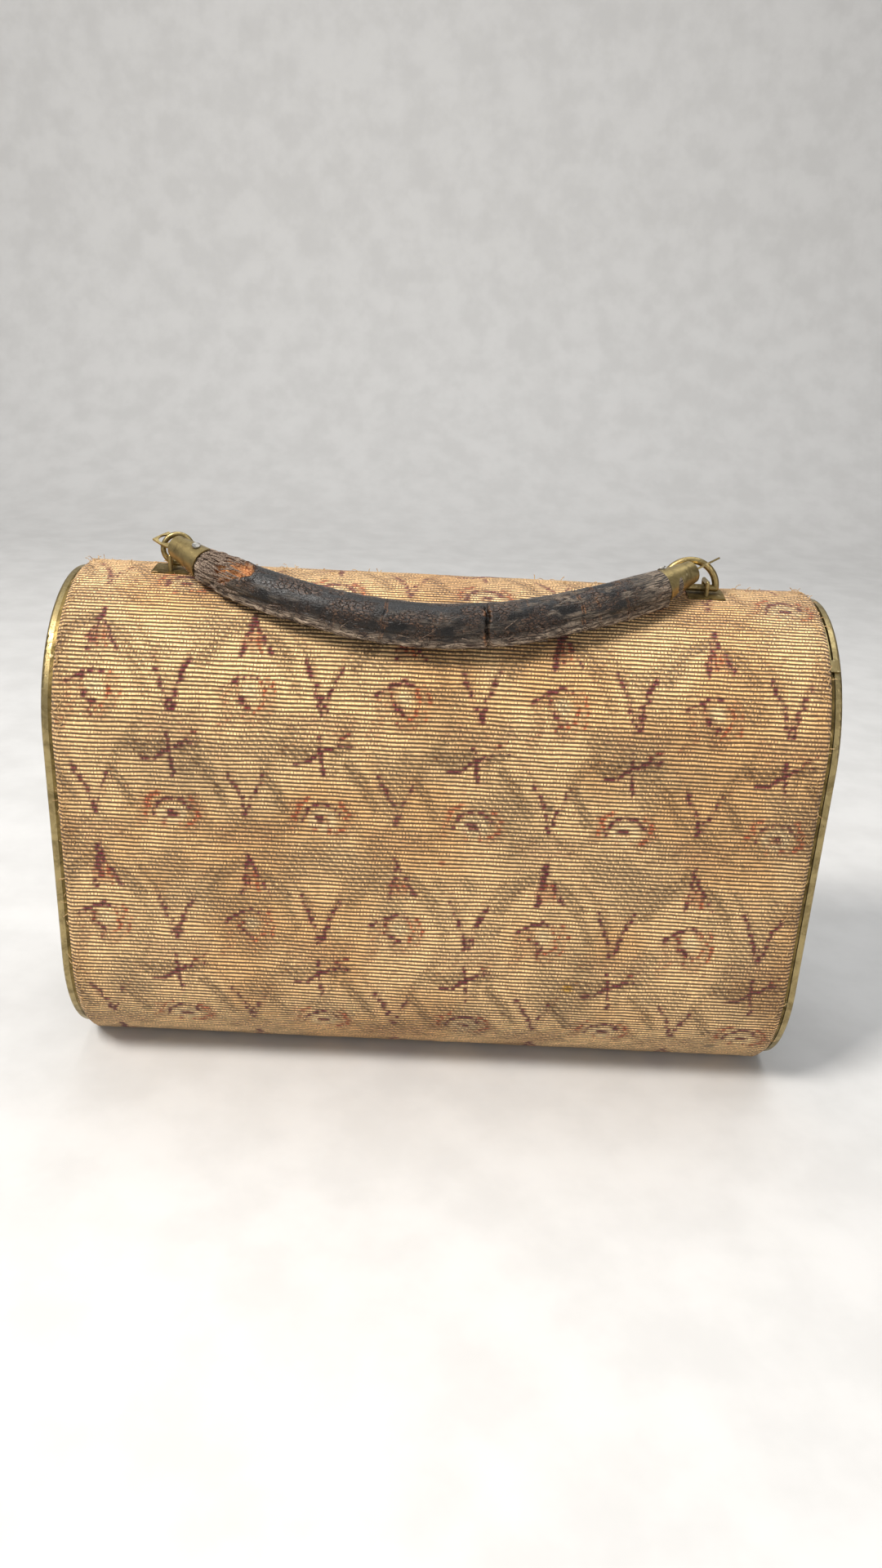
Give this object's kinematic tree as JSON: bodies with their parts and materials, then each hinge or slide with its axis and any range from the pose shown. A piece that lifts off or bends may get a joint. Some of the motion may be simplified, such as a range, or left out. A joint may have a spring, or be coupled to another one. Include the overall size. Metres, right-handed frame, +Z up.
{
  "type": "handbag",
  "caption": "Hard barrel-shaped tapestry handbag of flattened section with brass-rimmed ends, a hinged end lid and a leather-covered carrying handle.",
  "frame": {"origin": "middle of the flat the bag stands on", "axes": "+Z up, +X along the barrel towards the lid, -Y to the front over which the handle lies"},
  "size_m": [0.25, 0.0973, 0.182],
  "materials": {
    "tapestry": "ribbed tapestry, golden tan with wine and olive motifs",
    "board": "pressed board",
    "wood": "planed wood",
    "silk": "plain lining cloth",
    "leather": "worn dark leather",
    "handle_leather": "cracked black leather",
    "cord": "twisted fibre cord",
    "steel": "dull domed rivet",
    "brass": "dull antique brass"
  },
  "bodies": {
    "case": {"body_shell": "board", "catch_stud": "brass", "clamp_strip_left": "brass", "clamp_strip_right": "brass", "clinch_plate_left": "brass", "clinch_plate_right": "brass", "end_board_left": "board", "end_frame_left": "brass", "end_leather_left": "leather", "end_lining_left": "silk", "frame_pins_left": "brass", "hinge_leaf_fixed": "brass", "hinge_pin": "brass", "hinge_rivets": "brass", "lining": "silk", "mouth_board_right": "wood", "mouth_pins_right": "brass", "mouth_ring_right": "brass", "staple_left": "brass", "staple_right": "brass", "staple_seat_left": "brass", "staple_seat_right": "brass", "tapestry_cover": "tapestry"},
    "lid": {"lid_frame": "brass", "lid_board": "board", "lid_lining": "silk", "lid_leather": "leather", "hinge_leaf_lid": "brass", "catch_tab": "brass"},
    "ring_left": {"ring_left": "brass"},
    "ring_right": {"ring_right": "brass"},
    "handle": {"ferrule_left": "brass", "ferrule_right": "brass", "ferrule_rivets": "steel", "grip_core": "cord", "grip_leather": "handle_leather"}
  },
  "joints": [
    {"name": "ring_left_swing", "type": "hinge", "parent": "case", "child": "ring_left", "pos_m": [-0.089, -0.004, 0.1714], "axis": [-1, 0, 0], "range_deg": [0, 60]},
    {"name": "ring_right_swing", "type": "hinge", "parent": "case", "child": "ring_right", "pos_m": [0.0796, -0.004, 0.1714], "axis": [-1, 0, 0], "range_deg": [0, 60]},
    {"name": "handle_swing", "type": "hinge", "parent": "ring_left", "child": "handle", "pos_m": [0, -0.004, 0.179], "axis": [-1, 0, 0], "range_deg": [0, 40]},
    {"name": "lid_swing", "type": "hinge", "parent": "case", "child": "lid", "pos_m": [0.12245, 0.04892, 0.0825], "axis": [0, 0, 1], "range_deg": [0, 105]}
  ],
  "couplings": [
    {"joint": "ring_right_swing", "follows": "ring_left_swing", "ratio": 1}
  ]
}
